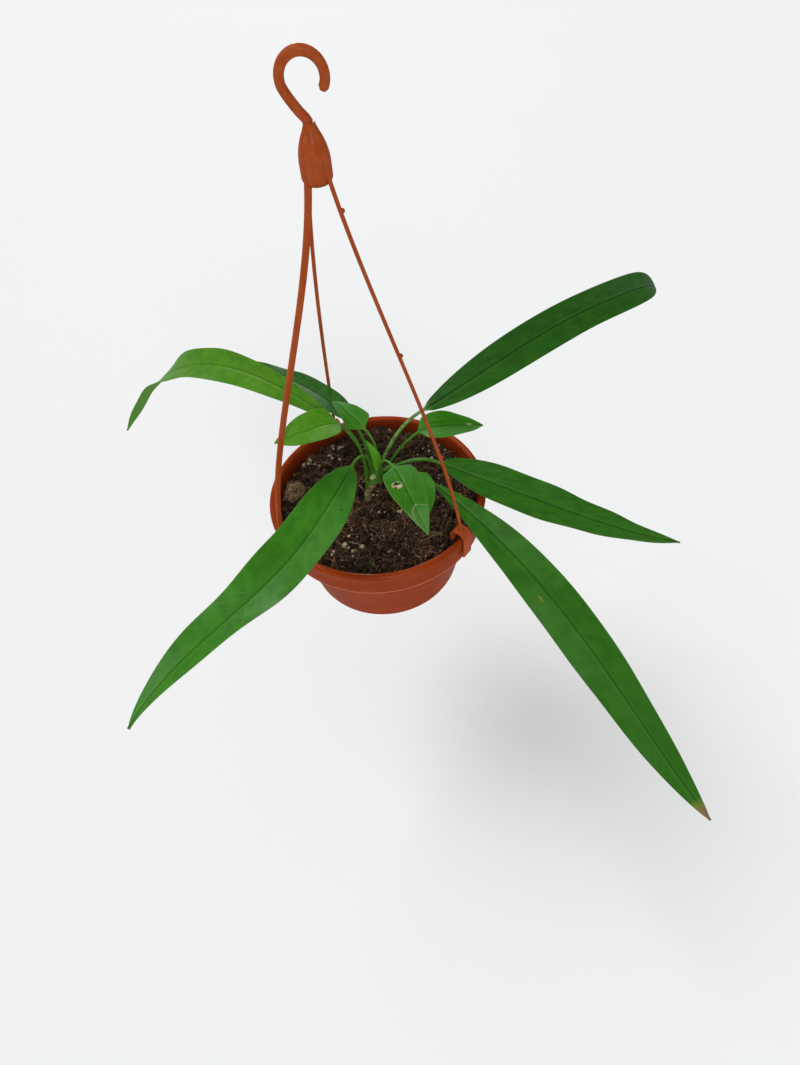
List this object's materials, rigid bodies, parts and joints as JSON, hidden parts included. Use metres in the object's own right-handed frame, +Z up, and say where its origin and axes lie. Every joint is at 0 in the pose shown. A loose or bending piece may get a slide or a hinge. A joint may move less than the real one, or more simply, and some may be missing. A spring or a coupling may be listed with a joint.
{
  "type": "potted anthurium vittariifolium",
  "caption": "Strap-leaved anthurium with drooping blades, growing in a tapered plastic pot that hangs from a clip-on three-legged hanger.",
  "frame": {"origin": "centre of the pot's base, on its underside", "axes": "+Z up along the pot axis, -Y towards the side the plant is seen from, +X to the right of it"},
  "size_m": [0.5077, 0.4142, 0.4064],
  "materials": {
    "pot": "glossy terracotta-coloured moulded plastic",
    "hanger": "satin terracotta-coloured moulded plastic",
    "soil": "dark loose peat with coir fibre and perlite",
    "stem": "matt green and brown plant stem",
    "sheath": "satin fresh green leaf sheath",
    "bract": "matt yellow-green scale",
    "leaf": "satin dark green leaf",
    "young_leaf": "satin light green leaf"
  },
  "bodies": {
    "root": {"pot": "pot", "soil": "soil", "stem": "stem", "sheath": "sheath", "bract": "bract", "leaf_front_left": "leaf", "leaf_front_right": "leaf", "leaf_right": "leaf", "leaf_back_right": "leaf", "leaf_left_arching": "leaf", "leaf_back_left": "leaf", "young_leaf_left": "young_leaf", "young_leaf_right": "young_leaf", "young_leaf_front": "young_leaf", "young_leaf_front_right": "young_leaf", "young_leaf_back": "young_leaf", "hanger_right": "hanger", "hanger_left": "hanger", "hanger_back": "hanger", "hanger_hook": "hanger"}
  },
  "joints": []
}
